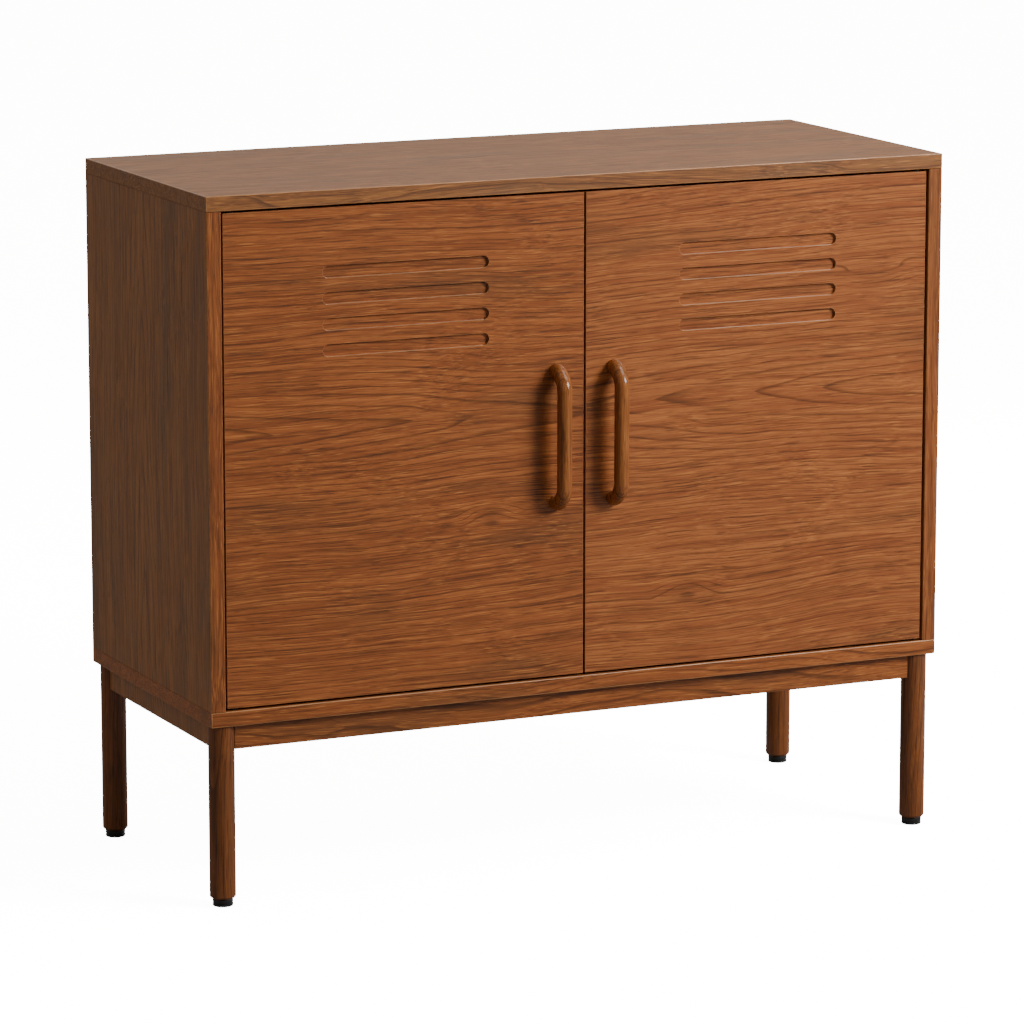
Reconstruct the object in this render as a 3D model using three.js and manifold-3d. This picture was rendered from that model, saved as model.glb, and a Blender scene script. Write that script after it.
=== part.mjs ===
// Two-door shoe cabinet on four round legs. Millimetres, +Z up, front towards -Y.
// Origin: on the floor, at the centre of the footprint that includes the handles.

import * as THREE from 'three'
import { mergeVertices } from 'three/addons/utils/BufferGeometryUtils.js'
import Module from 'manifold-3d'

const wasm = await Module()
wasm.setup()

// Carcass
const width = 800
const depth = 330
const height = 700
const board = 15 // thickness of the panels, shelves and doors
const jointGap = 0.3 // glue line or seating clearance between fixed pieces

// Legs, rails and levelling feet
const legDiameter = 26
const legInset = 16 // carcass face to leg axis
const legChamfer = 2
const legHeight = 174
const footHeight = 8 // floor to the end of the leg, foot fully screwed in
const footDiameter = 20.4
const footGrooveDepth = 0.9
const footSeatGap = 0.5
const studDiameter = 8
const studLength = 36
const studSeatDepth = 5
const studRunOut = 6 // empty bore beyond the stud
const apronHeight = 25
const apronThickness = 15
const legBoltDiameter = 8
const legBoltLength = 40
const legBoltInPanel = 9

// Doors
const doorGap = 2.5 // around and between the doors
const doorRecess = 2 // door face behind the carcass front
const pivotInset = 9 // door's outer edge to hinge axis
const pivotSetback = 6 // door's face to hinge axis
const pinDiameter = 5
const pinInPanel = 10
const pinInDoor = 9
const pinCollarDiameter = 8
const pinCollarHeight = 0.9
const bushDiameter = 7.2
const bushDepth = 12
const bushFlangeDiameter = 8.6
const bushFlangeHeight = 0.8
const runningClearance = 0.1

// Decorative slots in the doors
const slotCount = 4
const slotLength = 176
const slotHeight = 12
const slotDepth = 3
const slotPitch = 25.5
const slotTopMargin = 56.5

// Handles
const handleDiameter = 15
const handleLength = 147
const handleStandoff = 20 // door face to grip axis
const handleInset = 30 // door's meeting edge to grip axis
const handlePost = 7.5 // straight part of each end
const handleCornerTrim = 6
const handleScrewDiameter = 4
const handleScrewReach = 8 // screw's length inside the handle
const screwHeadDiameter = 8
const screwHeadHeight = 2.4

// Back, shelves and catches
const backThickness = 5
const backSetback = 10 // carcass rear to back panel
const backGroove = 4 // how deep the back panel sits in each panel
const shelfCount = 2
const shelfSideGap = 0.4 // pin's collar to shelf's end
const shelfFrontSetback = 20 // door's back to shelf's front edge
const shelfRearGap = 2
const shelfPinDiameter = 5
const shelfPinInPanel = 8
const shelfPinReach = 8
const shelfPinCollarDiameter = 8
const shelfPinCollar = 0.8
const shelfPinFront = 40 // shelf's front edge to front pins
const shelfPinRear = 40
const shelfRowPitch = 32
const shelfRowSteps = [-1, 0, 1] // drilled rows around each shelf
const catchWidth = 40
const catchDepth = 20
const catchHeight = 14
const catchInset = 40 // centre of the cabinet to catch centre
const catchAirGap = 0.6
const strikeWidth = 24
const strikeHeight = 12
const strikeThickness = 1.5

// Facets
const fineSegments = 32
const boreSegments = 16
const handleSegments = 10 // per half turn of the handle's section
const handleSteps = 44 // along the handle
const slotEndSegments = 8
const weld = 1e-4

// Worked out from the sizes above
const halfWidth = width / 2
const halfDepth = depth / 2
const carcassFloor = legHeight + footHeight
const openingBottom = carcassFloor + board
const openingTop = height - board
const innerHalf = halfWidth - board
const doorWidth = (2 * innerHalf - 3 * doorGap) / 2
const doorBottom = openingBottom + doorGap
const doorTop = openingTop - doorGap
const doorFront = -halfDepth + doorRecess
const doorBack = doorFront + board
const pivotX = innerHalf - doorGap - pivotInset
const pivotY = doorFront + pivotSetback
const doorMiddle = (doorBottom + doorTop) / 2
const backFront = halfDepth - backSetback - backThickness
const backRear = halfDepth - backSetback
const legX = halfWidth - legInset
const legY = halfDepth - legInset
const shelfFront = doorBack + shelfFrontSetback
const shelfRear = backFront - shelfRearGap
const bayHeight = (openingTop - openingBottom - shelfCount * board) / (shelfCount + 1)
const shelfUndersides = {
  lower: openingBottom + bayHeight,
  upper: openingBottom + 2 * bayHeight + board,
}
const handleReach = handleStandoff + handleDiameter / 2 - doorRecess

const sides = { left: -1, right: 1 }
const ends = { front: -1, rear: 1 }

const finishes = {
  walnut: { color: 0x7a4a30, roughness: 0.5, metalness: 0 },
  walnutEdge: { color: 0x6c3f28, roughness: 0.5, metalness: 0 },
  backBoard: { color: 0x6b4630, roughness: 0.7, metalness: 0 },
  steel: { color: 0xb4b6b8, roughness: 0.3, metalness: 1 },
  blackPlastic: { color: 0x1c1c1d, roughness: 0.5, metalness: 0 },
  brownPlastic: { color: 0x4a2f22, roughness: 0.5, metalness: 0 },
}

function toSolid(geometry) {
  const bare = new THREE.BufferGeometry()
  bare.setAttribute('position', geometry.getAttribute('position'))
  bare.setIndex(geometry.index)
  const welded = mergeVertices(bare, weld)
  return new wasm.Manifold(new wasm.Mesh({
    numProp: 3,
    vertProperties: welded.getAttribute('position').array,
    triVerts: new Uint32Array(welded.index.array),
  }))
}

function toGeometry(solid) {
  const mesh = solid.getMesh()
  const geometry = new THREE.BufferGeometry()
  geometry.setAttribute('position', new THREE.BufferAttribute(mesh.vertProperties, mesh.numProp))
  geometry.setIndex(new THREE.BufferAttribute(mesh.triVerts, 1))
  geometry.computeVertexNormals()
  return geometry
}

function cut(geometry, tools) {
  let solid = toSolid(geometry)
  for (const tool of tools) solid = solid.subtract(toSolid(tool))
  return toGeometry(solid)
}

function piece(name, geometry, finish) {
  const mesh = new THREE.Mesh(geometry, new THREE.MeshStandardMaterial(finishes[finish]))
  mesh.name = name
  return mesh
}

// A box between two corners.
function block(low, high) {
  const size = high.map((value, axis) => value - low[axis])
  const geometry = new THREE.BoxGeometry(...size)
  return geometry.translate(...high.map((value, axis) => (value + low[axis]) / 2))
}

// A rod between two points on a line parallel to an axis: x, y or z.
function rod(axis, diameter, start, length, segments = boreSegments) {
  const geometry = new THREE.CylinderGeometry(diameter / 2, diameter / 2, length, segments)
  geometry.translate(0, length / 2, 0)
  if (axis === 'x') geometry.rotateZ(-Math.PI / 2)
  if (axis === 'z') geometry.rotateX(Math.PI / 2)
  return geometry.translate(...start)
}

// A turned solid about a vertical axis; the profile is [radius, height] pairs.
function turned(profile, segments = fineSegments) {
  const points = profile.map(([radius, z]) => new THREE.Vector2(radius, z))
  return new THREE.LatheGeometry(points, segments).rotateX(Math.PI / 2)
}

// The groove that holds the back panel, run past both ends of a panel.
function backGrooveTool(low, high) {
  return block(
    [low[0], backFront - jointGap, low[2]],
    [high[0], backRear + jointGap, high[2]],
  )
}

function pivotHole(side, z, length) {
  return rod('z', pinDiameter + 2 * jointGap, [side * pivotX, pivotY, z], length)
}

function topPanel() {
  const slab = block([-halfWidth, -halfDepth, openingTop], [halfWidth, halfDepth, height])
  const reach = innerHalf + backGroove
  const groove = backGrooveTool(
    [-reach, 0, openingTop - board],
    [reach, 0, openingTop + backGroove],
  )
  const holes = Object.values(sides).map(
    (side) => pivotHole(side, openingTop - board, board + pinInPanel + jointGap),
  )
  return piece('top_panel', cut(slab, [groove, ...holes]), 'walnut')
}

function bottomPanel() {
  const slab = block([-halfWidth, -halfDepth, carcassFloor], [halfWidth, halfDepth, openingBottom])
  const reach = innerHalf + backGroove
  const groove = backGrooveTool(
    [-reach, 0, openingBottom - backGroove],
    [reach, 0, openingBottom + board],
  )
  const pivots = Object.values(sides).map(
    (side) => pivotHole(side, openingBottom - pinInPanel - jointGap, board + pinInPanel),
  )
  const bolts = legPlaces().map(({ x, y }) => rod(
    'z', legBoltDiameter + 2 * jointGap, [x, y, carcassFloor - board], board + legBoltInPanel + jointGap,
  ))
  return piece('bottom_panel', cut(slab, [groove, ...pivots, ...bolts]), 'walnut')
}

function shelfPinPlaces() {
  const places = []
  for (const [shelf, underside] of Object.entries(shelfUndersides)) {
    const z = underside - shelfPinDiameter / 2 - jointGap
    places.push({ shelf, end: 'front', y: shelfFront + shelfPinFront, z })
    places.push({ shelf, end: 'rear', y: shelfRear - shelfPinRear, z })
  }
  return places
}

function sidePanel(sideName) {
  const side = sides[sideName]
  const low = [Math.min(side * halfWidth, side * innerHalf), -halfDepth, openingBottom + jointGap]
  const high = [Math.max(side * halfWidth, side * innerHalf), halfDepth, openingTop - jointGap]
  const grooveWall = side * (innerHalf + backGroove)
  const grooveMouth = side * (innerHalf - board)
  const groove = backGrooveTool(
    [Math.min(grooveWall, grooveMouth), 0, openingBottom - board],
    [Math.max(grooveWall, grooveMouth), 0, openingTop + board],
  )
  const holes = []
  const holeLength = board + shelfPinInPanel + jointGap
  for (const { y, z } of shelfPinPlaces()) {
    for (const step of shelfRowSteps) {
      const deep = side * (innerHalf + shelfPinInPanel + jointGap)
      const start = Math.min(deep, deep - side * holeLength)
      const place = [start, y, z + step * shelfRowPitch]
      holes.push(rod('x', shelfPinDiameter + 2 * jointGap, place, holeLength))
    }
  }
  return piece(`${sideName}_side_panel`, cut(block(low, high), [groove, ...holes]), 'walnutEdge')
}

function backPanel() {
  const reach = innerHalf + backGroove - jointGap
  const panel = block(
    [-reach, backFront, openingBottom - backGroove + jointGap],
    [reach, backRear, openingTop + backGroove - jointGap],
  )
  return piece('back_panel', panel, 'backBoard')
}

function shelf(shelfName) {
  const underside = shelfUndersides[shelfName]
  const reach = innerHalf - jointGap - shelfPinCollar - shelfSideGap
  const panel = block([-reach, shelfFront, underside], [reach, shelfRear, underside + board])
  return piece(`${shelfName}_shelf`, panel, 'walnut')
}

// A plain peg with a collar that stops it against the side panel.
function shelfPin(sideName, place) {
  const side = sides[sideName]
  const pin = shelfPinDiameter / 2
  const collar = shelfPinCollarDiameter / 2
  const profile = [
    [0, -shelfPinInPanel], [pin, -shelfPinInPanel], [pin, jointGap], [collar, jointGap],
    [collar, jointGap + shelfPinCollar], [pin, jointGap + shelfPinCollar],
    [pin, shelfPinReach], [0, shelfPinReach],
  ]
  const geometry = turned(profile, boreSegments).rotateY(-side * Math.PI / 2)
  const mesh = piece(`${place.shelf}_shelf_pin_${place.end}_${sideName}`, geometry, 'steel')
  mesh.position.set(side * innerHalf, place.y, place.z)
  return mesh
}

function legPlaces() {
  const places = []
  for (const [endName, end] of Object.entries(ends)) {
    for (const [sideName, side] of Object.entries(sides)) {
      places.push({ name: `${endName}_${sideName}`, x: side * legX, y: end * legY })
    }
  }
  return places
}

// A turned leg with a bolt bore at its head and a stud bore at its foot.
function leg({ name, x, y }) {
  const radius = legDiameter / 2
  const head = legHeight - jointGap
  const profile = [
    [0, 0], [radius - legChamfer, 0], [radius, legChamfer], [radius, head], [0, head],
  ]
  const studDepth = studLength - studSeatDepth + studRunOut
  const studBore = rod('z', studDiameter + 2 * jointGap, [0, 0, -board], board + studDepth)
  const boltDepth = legBoltLength - legBoltInPanel + jointGap
  const boltBore = rod('z', legBoltDiameter + 2 * jointGap, [0, 0, legHeight - boltDepth], boltDepth + board)
  const mesh = piece(`leg_${name}`, cut(turned(profile), [studBore, boltBore]), 'walnutEdge')
  mesh.position.set(x, y, footHeight)
  return mesh
}

function legBolt({ name, x, y }) {
  const start = [0, 0, legBoltInPanel - legBoltLength]
  const mesh = piece(`leg_bolt_${name}`, rod('z', legBoltDiameter, start, legBoltLength), 'steel')
  mesh.position.set(x, y, carcassFloor)
  return mesh
}

// Round levelling pad with a finger groove, open at the top for its stud.
function footPad() {
  const radius = footDiameter / 2
  const top = footHeight - footSeatGap
  const third = top / 3
  const socket = studDiameter / 2 + jointGap
  const socketFloor = top - studSeatDepth - jointGap
  const profile = [
    [0, 0], [radius - footGrooveDepth, 0], [radius, footGrooveDepth], [radius, third],
    [radius - footGrooveDepth, third + footGrooveDepth],
    [radius - footGrooveDepth, 2 * third - footGrooveDepth],
    [radius, 2 * third], [radius, top], [socket, top], [socket, socketFloor], [0, socketFloor],
  ]
  return turned(profile)
}

function foot({ name, x, y }) {
  const group = new THREE.Group()
  group.position.set(x, y, 0)
  const stud = rod('z', studDiameter, [0, 0, footHeight - footSeatGap - studSeatDepth], studLength)
  group.add(piece(`foot_pad_${name}`, footPad(), 'blackPlastic'))
  group.add(piece(`foot_stud_${name}`, stud, 'steel'))
  return group
}

// A rail between two legs, its ends coped round them.
function apron(name, low, high) {
  const collars = legPlaces().map(({ x, y }) => rod(
    'z', legDiameter + 2 * jointGap, [x, y, low[2] - board], apronHeight + 2 * board, fineSegments,
  ))
  return piece(`${name}_apron`, cut(block(low, high), collars), 'walnutEdge')
}

function aprons() {
  const bottom = carcassFloor - apronHeight
  const top = carcassFloor - jointGap
  const half = apronThickness / 2
  const rails = []
  for (const [endName, end] of Object.entries(ends)) {
    const y = end * legY
    rails.push(apron(endName, [-legX, y - half, bottom], [legX, y + half, top]))
  }
  for (const [sideName, side] of Object.entries(sides)) {
    const x = side * legX
    rails.push(apron(sideName, [x - half, -legY, bottom], [x + half, legY, top]))
  }
  return rails
}

// Pivot pin seated in a panel; at the top of the door it points down.
function pivotPin(sideName, level) {
  const pin = pinDiameter / 2
  const collar = pinCollarDiameter / 2
  const collarTop = jointGap + pinCollarHeight
  const profile = [
    [0, -pinInPanel], [pin, -pinInPanel], [pin, jointGap], [collar, jointGap],
    [collar, collarTop], [pin, collarTop], [pin, doorGap + pinInDoor], [0, doorGap + pinInDoor],
  ]
  const mesh = piece(`${level}_pivot_pin_${sideName}`, turned(profile, boreSegments), 'steel')
  const z = level === 'top' ? openingTop : openingBottom
  mesh.position.set(sides[sideName] * pivotX, pivotY, z)
  if (level === 'top') mesh.rotation.x = Math.PI
  return mesh
}

function magneticCatch(sideName) {
  const x = sides[sideName] * catchInset
  const front = doorBack + jointGap + strikeThickness + catchAirGap
  const top = openingTop - jointGap
  const housing = block(
    [x - catchWidth / 2, front, top - catchHeight],
    [x + catchWidth / 2, front + catchDepth, top],
  )
  return piece(`magnetic_catch_${sideName}`, housing, 'brownPlastic')
}

// A round-ended slot cutter lying along X, its axis of cut along Y.
function slotTool(centreX, centreZ) {
  const radius = slotHeight / 2
  const straight = slotLength / 2 - radius
  const outline = new THREE.Shape()
  outline.absarc(straight, 0, radius, -Math.PI / 2, Math.PI / 2, false)
  outline.absarc(-straight, 0, radius, Math.PI / 2, 3 * Math.PI / 2, false)
  outline.closePath()
  const tool = new THREE.ExtrudeGeometry(outline, {
    depth: slotDepth + board, bevelEnabled: false, curveSegments: slotEndSegments,
  })
  tool.rotateX(Math.PI / 2)
  return tool.translate(centreX, doorFront + slotDepth - pivotY, centreZ)
}

function handleEnds() {
  const reach = (handleLength - handleDiameter) / 2
  return [doorMiddle - reach, doorMiddle + reach]
}

// Everything below is placed in a door's own group, whose origin is on the hinge axis.
function door(sideName) {
  const side = sides[sideName]
  const outer = side * pivotInset
  const inner = side * (pivotInset - doorWidth)
  const front = doorFront - pivotY
  const back = doorBack - pivotY
  const slab = block([Math.min(outer, inner), front, doorBottom], [Math.max(outer, inner), back, doorTop])
  const tools = []
  for (let slot = 0; slot < slotCount; slot += 1) {
    const z = doorTop - slotTopMargin - slotHeight / 2 - slot * slotPitch
    tools.push(slotTool((outer + inner) / 2, z))
  }
  const bushBore = bushDiameter + 2 * jointGap
  const bushHole = bushDepth + jointGap
  tools.push(rod('z', bushBore, [0, 0, doorBottom - board], board + bushHole))
  tools.push(rod('z', bushBore, [0, 0, doorTop - bushHole], bushHole + board))
  for (const z of handleEnds()) {
    const x = handleX(side)
    tools.push(rod('y', handleScrewDiameter + 2 * jointGap, [x, front - board, z], 3 * board))
    tools.push(rod('y', screwHeadDiameter + 2 * jointGap, [x, back - screwHeadHeight - jointGap, z], board))
  }
  return piece(`${sideName}_door`, cut(slab, tools), 'walnut')
}

function handleX(side) {
  return side * (pivotInset - doorWidth + handleInset)
}

// Flanged bush: a turned ring pushed into the door's edge.
function pivotBush(sideName, level) {
  const outer = bushDiameter / 2
  const flange = bushFlangeDiameter / 2
  const bore = pinDiameter / 2 + runningClearance
  const flangeTop = bushFlangeHeight + jointGap
  const profile = [
    [bore, -bushDepth], [outer, -bushDepth], [outer, jointGap], [flange, jointGap],
    [flange, flangeTop], [bore, flangeTop], [bore, -bushDepth],
  ]
  const mesh = piece(`${level}_pivot_bush_${sideName}`, turned(profile, boreSegments), 'blackPlastic')
  mesh.position.z = level === 'top' ? doorTop : doorBottom
  if (level === 'bottom') mesh.rotation.x = Math.PI
  return mesh
}

// Rounds each corner of a polyline into a curve.
function roundedPath(corners, trim) {
  const path = new THREE.CurvePath()
  let from = corners[0]
  for (let index = 1; index < corners.length - 1; index += 1) {
    const corner = corners[index]
    const before = corner.clone().sub(from).normalize()
    const after = corners[index + 1].clone().sub(corner).normalize()
    const entry = corner.clone().addScaledVector(before, -trim)
    const exit = corner.clone().addScaledVector(after, trim)
    path.add(new THREE.LineCurve3(from, entry))
    path.add(new THREE.QuadraticBezierCurve3(entry, corner, exit))
    from = exit
  }
  path.add(new THREE.LineCurve3(from, corners[corners.length - 1]))
  return path
}

function handle(sideName) {
  const reach = (handleLength - handleDiameter) / 2
  const bend = handleStandoff - handlePost
  const corners = [
    [-jointGap, reach], [-handlePost, reach], [-handleStandoff, reach - bend],
    [-handleStandoff, bend - reach], [-handlePost, -reach], [-jointGap, -reach],
  ].map(([y, z]) => new THREE.Vector3(0, y, z))
  const section = new THREE.Shape().absarc(0, 0, handleDiameter / 2, 0, 2 * Math.PI, false)
  const bar = new THREE.ExtrudeGeometry(section, {
    steps: handleSteps,
    curveSegments: handleSegments,
    extrudePath: roundedPath(corners, handleCornerTrim),
  })
  const tools = [reach, -reach].map((z) => rod(
    'y', handleScrewDiameter + 2 * jointGap, [0, -handleScrewReach - jointGap, z], handleScrewReach + board,
  ))
  const mesh = piece(`${sideName}_handle`, cut(bar, tools), 'walnutEdge')
  mesh.position.set(handleX(sides[sideName]), doorFront - pivotY, doorMiddle)
  return mesh
}

// Machine screw from the back of the door into one end of the handle.
function handleScrew(sideName, level, z) {
  const head = screwHeadDiameter / 2
  const shank = handleScrewDiameter / 2
  const length = board + handleScrewReach
  const profile = [
    [0, -length], [shank, -length], [shank, -screwHeadHeight], [head, -screwHeadHeight],
    [head, 0], [0, 0],
  ]
  const mesh = piece(`${sideName}_handle_screw_${level}`, turned(profile, boreSegments), 'steel')
  mesh.rotation.x = -Math.PI / 2
  mesh.position.set(handleX(sides[sideName]), doorBack - pivotY, z)
  return mesh
}

function strikePlate(sideName) {
  const side = sides[sideName]
  const x = side * (catchInset - pivotX)
  const back = doorBack - pivotY + jointGap
  const top = openingTop - jointGap - (catchHeight - strikeHeight) / 2
  const limit = Math.min(top, doorTop - jointGap)
  const plate = block(
    [x - strikeWidth / 2, back, limit - strikeHeight],
    [x + strikeWidth / 2, back + strikeThickness, limit],
  )
  return piece(`strike_plate_${sideName}`, plate, 'steel')
}

function doorAssembly(sideName) {
  const group = new THREE.Group()
  group.position.set(sides[sideName] * pivotX, pivotY, 0)
  const [lowerEnd, upperEnd] = handleEnds()
  group.add(door(sideName), handle(sideName), strikePlate(sideName))
  group.add(handleScrew(sideName, 'lower', lowerEnd), handleScrew(sideName, 'upper', upperEnd))
  group.add(pivotBush(sideName, 'top'), pivotBush(sideName, 'bottom'))
  return group
}

const cabinet = new THREE.Group()
cabinet.position.y = handleReach / 2
cabinet.add(topPanel(), bottomPanel(), backPanel(), ...aprons())
for (const shelfName of Object.keys(shelfUndersides)) cabinet.add(shelf(shelfName))
for (const place of legPlaces()) cabinet.add(leg(place), legBolt(place), foot(place))
for (const sideName of Object.keys(sides)) {
  cabinet.add(sidePanel(sideName), magneticCatch(sideName), doorAssembly(sideName))
  cabinet.add(pivotPin(sideName, 'top'), pivotPin(sideName, 'bottom'))
  for (const place of shelfPinPlaces()) cabinet.add(shelfPin(sideName, place))
}

export default cabinet
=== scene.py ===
import math

import bpy
from mathutils import Euler, Matrix, Vector


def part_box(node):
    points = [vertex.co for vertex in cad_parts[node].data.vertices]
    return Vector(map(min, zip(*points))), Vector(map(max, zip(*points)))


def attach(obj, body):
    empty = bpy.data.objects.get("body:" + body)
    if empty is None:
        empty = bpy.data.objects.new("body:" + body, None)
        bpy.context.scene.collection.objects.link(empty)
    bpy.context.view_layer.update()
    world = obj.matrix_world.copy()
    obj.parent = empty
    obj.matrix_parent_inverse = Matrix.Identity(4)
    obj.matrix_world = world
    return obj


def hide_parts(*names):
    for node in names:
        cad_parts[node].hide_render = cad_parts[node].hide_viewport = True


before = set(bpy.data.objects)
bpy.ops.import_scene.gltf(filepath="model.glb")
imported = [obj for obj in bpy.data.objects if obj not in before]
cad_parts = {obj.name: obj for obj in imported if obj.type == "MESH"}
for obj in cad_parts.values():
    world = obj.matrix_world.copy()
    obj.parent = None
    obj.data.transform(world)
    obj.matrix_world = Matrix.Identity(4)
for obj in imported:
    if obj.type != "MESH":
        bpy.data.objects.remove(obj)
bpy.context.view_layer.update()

MM = 0.001
SIDES = {"left": -1, "right": 1}
ENDS = ("front", "rear")
CORNERS = [f"{end}_{side}" for end in ENDS for side in SIDES]

EASED_EDGE = 0.9 * MM  # radius sanded on a veneered edge
EDGE_STEPS = 3
SHARP = math.radians(50)  # edges that turn more than this are eased
FINE_ROUND = 64
SMALL_ROUND = 32
# the first of these is the finish on eased rounds: a paler colour painted on them as a highlight
PAINTED_HIGHLIGHT_FINISH, BAND_FINISH = 1, 2  # places in a panel's list of finishes
CLEAR = 0.3 * MM  # room between a piece and the hole that it sits in
SKIN = 0.1 * MM  # a face nearer than this to a plane counts as lying in it
PAST = 10 * MM  # how far a cutter stands out of the face that it opens

# radii of holes, and of the hollows that fit round the legs
PIVOT_HOLE = 2.8 * MM
SHELF_PIN_HOLE = 2.8 * MM
SCREW_HOLE = 2.3 * MM
SCREW_HEAD_HOLE = 4.3 * MM
THREAD_HOLE = 4.3 * MM
BUSH_HOLE = 3.9 * MM
LEG_COPE = 13.3 * MM

SHELF_ROW_PITCH = 32 * MM
BOLT_HOLE_DEPTH = 40 * MM  # from the bolt's head down, so it opens the panel's underside
APRON_EASING = 0.8 * MM
BACK_EASING = 0.3 * MM
COPE_PAST = 50 * MM  # how far the cutters for the hollows stand out of a rail


# ---------------------------------------------------------------- modelling

def deselect():
    if bpy.context.mode != "OBJECT":
        bpy.ops.object.mode_set(mode="OBJECT")
    bpy.ops.object.select_all(action="DESELECT")


def pick(piece):
    deselect()
    piece.select_set(True)
    bpy.context.view_layer.objects.active = piece


def settle(name):
    """Names the new primitive and puts its place into its mesh."""
    piece = bpy.context.object
    piece.name = name
    piece.data.name = name
    bpy.ops.object.transform_apply(location=True, rotation=True, scale=True)
    return piece


def block(name, low, high):
    deselect()
    low, high = Vector(low), Vector(high)
    bpy.ops.mesh.primitive_cube_add(size=1, location=(low + high) / 2, scale=high - low)
    return settle(name)


def bar(name, start, end, radius, sides=SMALL_ROUND):
    """A closed round bar between two points."""
    deselect()
    start, end = Vector(start), Vector(end)
    turn = (end - start).to_track_quat("Z", "Y").to_euler()
    bpy.ops.mesh.primitive_cylinder_add(
        vertices=sides, radius=radius, depth=(end - start).length,
        location=(start + end) / 2, rotation=turn)
    return settle(name)


def upright_bar(name, spot, low, high, radius, sides=SMALL_ROUND):
    """A bar along Z through the spot, between two heights."""
    return bar(name, (spot[0], spot[1], low), (spot[0], spot[1], high), radius, sides)


def lay(piece, spot, turn=(0, 0, 0)):
    """Turns and moves a piece made at the origin, and puts its place into its mesh."""
    pick(piece)
    piece.rotation_euler = turn
    piece.location = spot
    bpy.ops.object.transform_apply(location=True, rotation=True, scale=True)
    return piece


def join(pieces):
    deselect()
    for piece in pieces:
        piece.select_set(True)
    bpy.context.view_layer.objects.active = pieces[0]
    bpy.ops.object.join()
    return pieces[0]


def apply_modifier(piece, kind, **settings):
    pick(piece)
    modifier = piece.modifiers.new(kind.lower(), kind)
    for key, value in settings.items():
        setattr(modifier, key, value)
    bpy.ops.object.modifier_apply(modifier=modifier.name)


def cut(piece, cutters):
    """Cuts every cutter out of the piece and throws the cutters away."""
    for cutter in cutters:
        apply_modifier(piece, "BOOLEAN", operation="DIFFERENCE", object=cutter, solver="EXACT")
        bpy.data.objects.remove(cutter)


def select_edges(piece, test):
    """Edit mode on the piece, with only the edges selected whose two ends pass the test."""
    pick(piece)
    bpy.ops.object.mode_set(mode="EDIT")
    bpy.ops.mesh.select_mode(type="EDGE")
    bpy.ops.mesh.select_all(action="DESELECT")
    bpy.ops.object.mode_set(mode="OBJECT")
    for edge in piece.data.edges:
        edge.select = test(*(piece.data.vertices[v].co for v in edge.vertices))
    bpy.ops.object.mode_set(mode="EDIT")


def leave_edit():
    bpy.ops.object.mode_set(mode="OBJECT")


def add_two_finishes(piece):
    pick(piece)
    bpy.ops.object.material_slot_add()
    bpy.ops.object.material_slot_add()


def ease_chosen(piece, test):
    """Rounds only the chosen edges of a board; the rounds take the board's second finish, the paler edge
    colour painted on them as a highlight.
    """
    add_two_finishes(piece)
    select_edges(piece, test)
    bpy.ops.mesh.bevel(offset=EASED_EDGE, segments=EDGE_STEPS, affect="EDGES", material=PAINTED_HIGHLIGHT_FINISH)
    leave_edit()


def ease_edges(piece, radius=EASED_EDGE, steps=EDGE_STEPS, painted_highlight_rounds=False):
    """Rounds every sharp edge; when asked, the rounds take the piece's second finish, the paler edge colour
    painted on them as a highlight.
    """
    if painted_highlight_rounds:
        add_two_finishes(piece)
    apply_modifier(piece, "BEVEL", width=radius, segments=steps, limit_method="ANGLE",
                   angle_limit=SHARP, use_clamp_overlap=True, miter_outer="MITER_ARC",
                   material=PAINTED_HIGHLIGHT_FINISH if painted_highlight_rounds else -1)


def smooth(piece, angle=35):
    """Rounded edges shade smoothly while the wide faces stay flat."""
    pick(piece)
    bpy.ops.object.shade_smooth_by_angle(angle=math.radians(angle))
    apply_modifier(piece, "WEIGHTED_NORMAL", mode="FACE_AREA", keep_sharp=True)


def finished(piece, body, slot, material, *nodes, angle=35, edge=None):
    """Sets a piece's shading, finish and body, and hides the imported parts that it stands for."""
    smooth(piece, angle)
    # edge is the finish of the eased rounds: a paler colour painted on them as a highlight
    finishes = (material, edge) if edge else (material,)
    while len(piece.data.materials) < len(finishes):
        piece.data.materials.append(None)
    for index, finish in enumerate(finishes):
        piece.data.materials[index] = finish
    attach(piece, body)
    if nodes:
        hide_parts(*nodes)
    return piece


def centre(node):
    low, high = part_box(node)
    return (Vector(low) + Vector(high)) / 2


# ---------------------------------------------------------------- materials

def linear(hex_colour):
    """An sRGB hex value as linear red, green, blue and alpha."""
    channels = [int(hex_colour[i:i + 2], 16) / 255 for i in (1, 3, 5)]
    turned = [c / 12.92 if c <= 0.04045 else ((c + 0.055) / 1.055) ** 2.4 for c in channels]
    return (*turned, 1.0)


def add(tree, kind, links=None, **settings):
    """Adds a node, sets its properties or unlinked sockets, and links its inputs."""
    node = tree.nodes.new(kind)
    inputs = {}
    for key, value in settings.items():
        if hasattr(node, key):
            setattr(node, key, value)
        else:
            inputs[key] = value
    for key, value in inputs.items():
        node.inputs[key.replace("_", " ")].default_value = value
    for key, source in (links or {}).items():
        tree.links.new(source, node.inputs[key])
    return node


def new_material(name):
    material = bpy.data.materials.new(name)
    material.use_nodes = True
    tree = material.node_tree
    tree.nodes.clear()
    return material, tree


def close_material(tree, shader):
    add(tree, "ShaderNodeOutputMaterial", {"Surface": shader.outputs[0]})


def maths(tree, operation, first, second=None):
    """One sum; either side is a socket or a number."""
    node = add(tree, "ShaderNodeMath", operation=operation)
    for index, side in enumerate((first, second)):
        if side is None:
            continue
        if isinstance(side, (int, float)):
            node.inputs[index].default_value = side
        else:
            tree.links.new(side, node.inputs[index])
    return node.outputs[0]


# Turns that bring the grain onto the pattern's X axis and the veneer's face square to its Z axis.
QUARTER = math.radians(90)
WIDTHWAYS_UPRIGHT = (-QUARTER, 0, 0)  # doors, back and front rails
WIDTHWAYS_FLAT = (0, 0, 0)  # top, bottom and shelves
UPRIGHT = (0, QUARTER, 0)  # side panels, legs and handles


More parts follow.
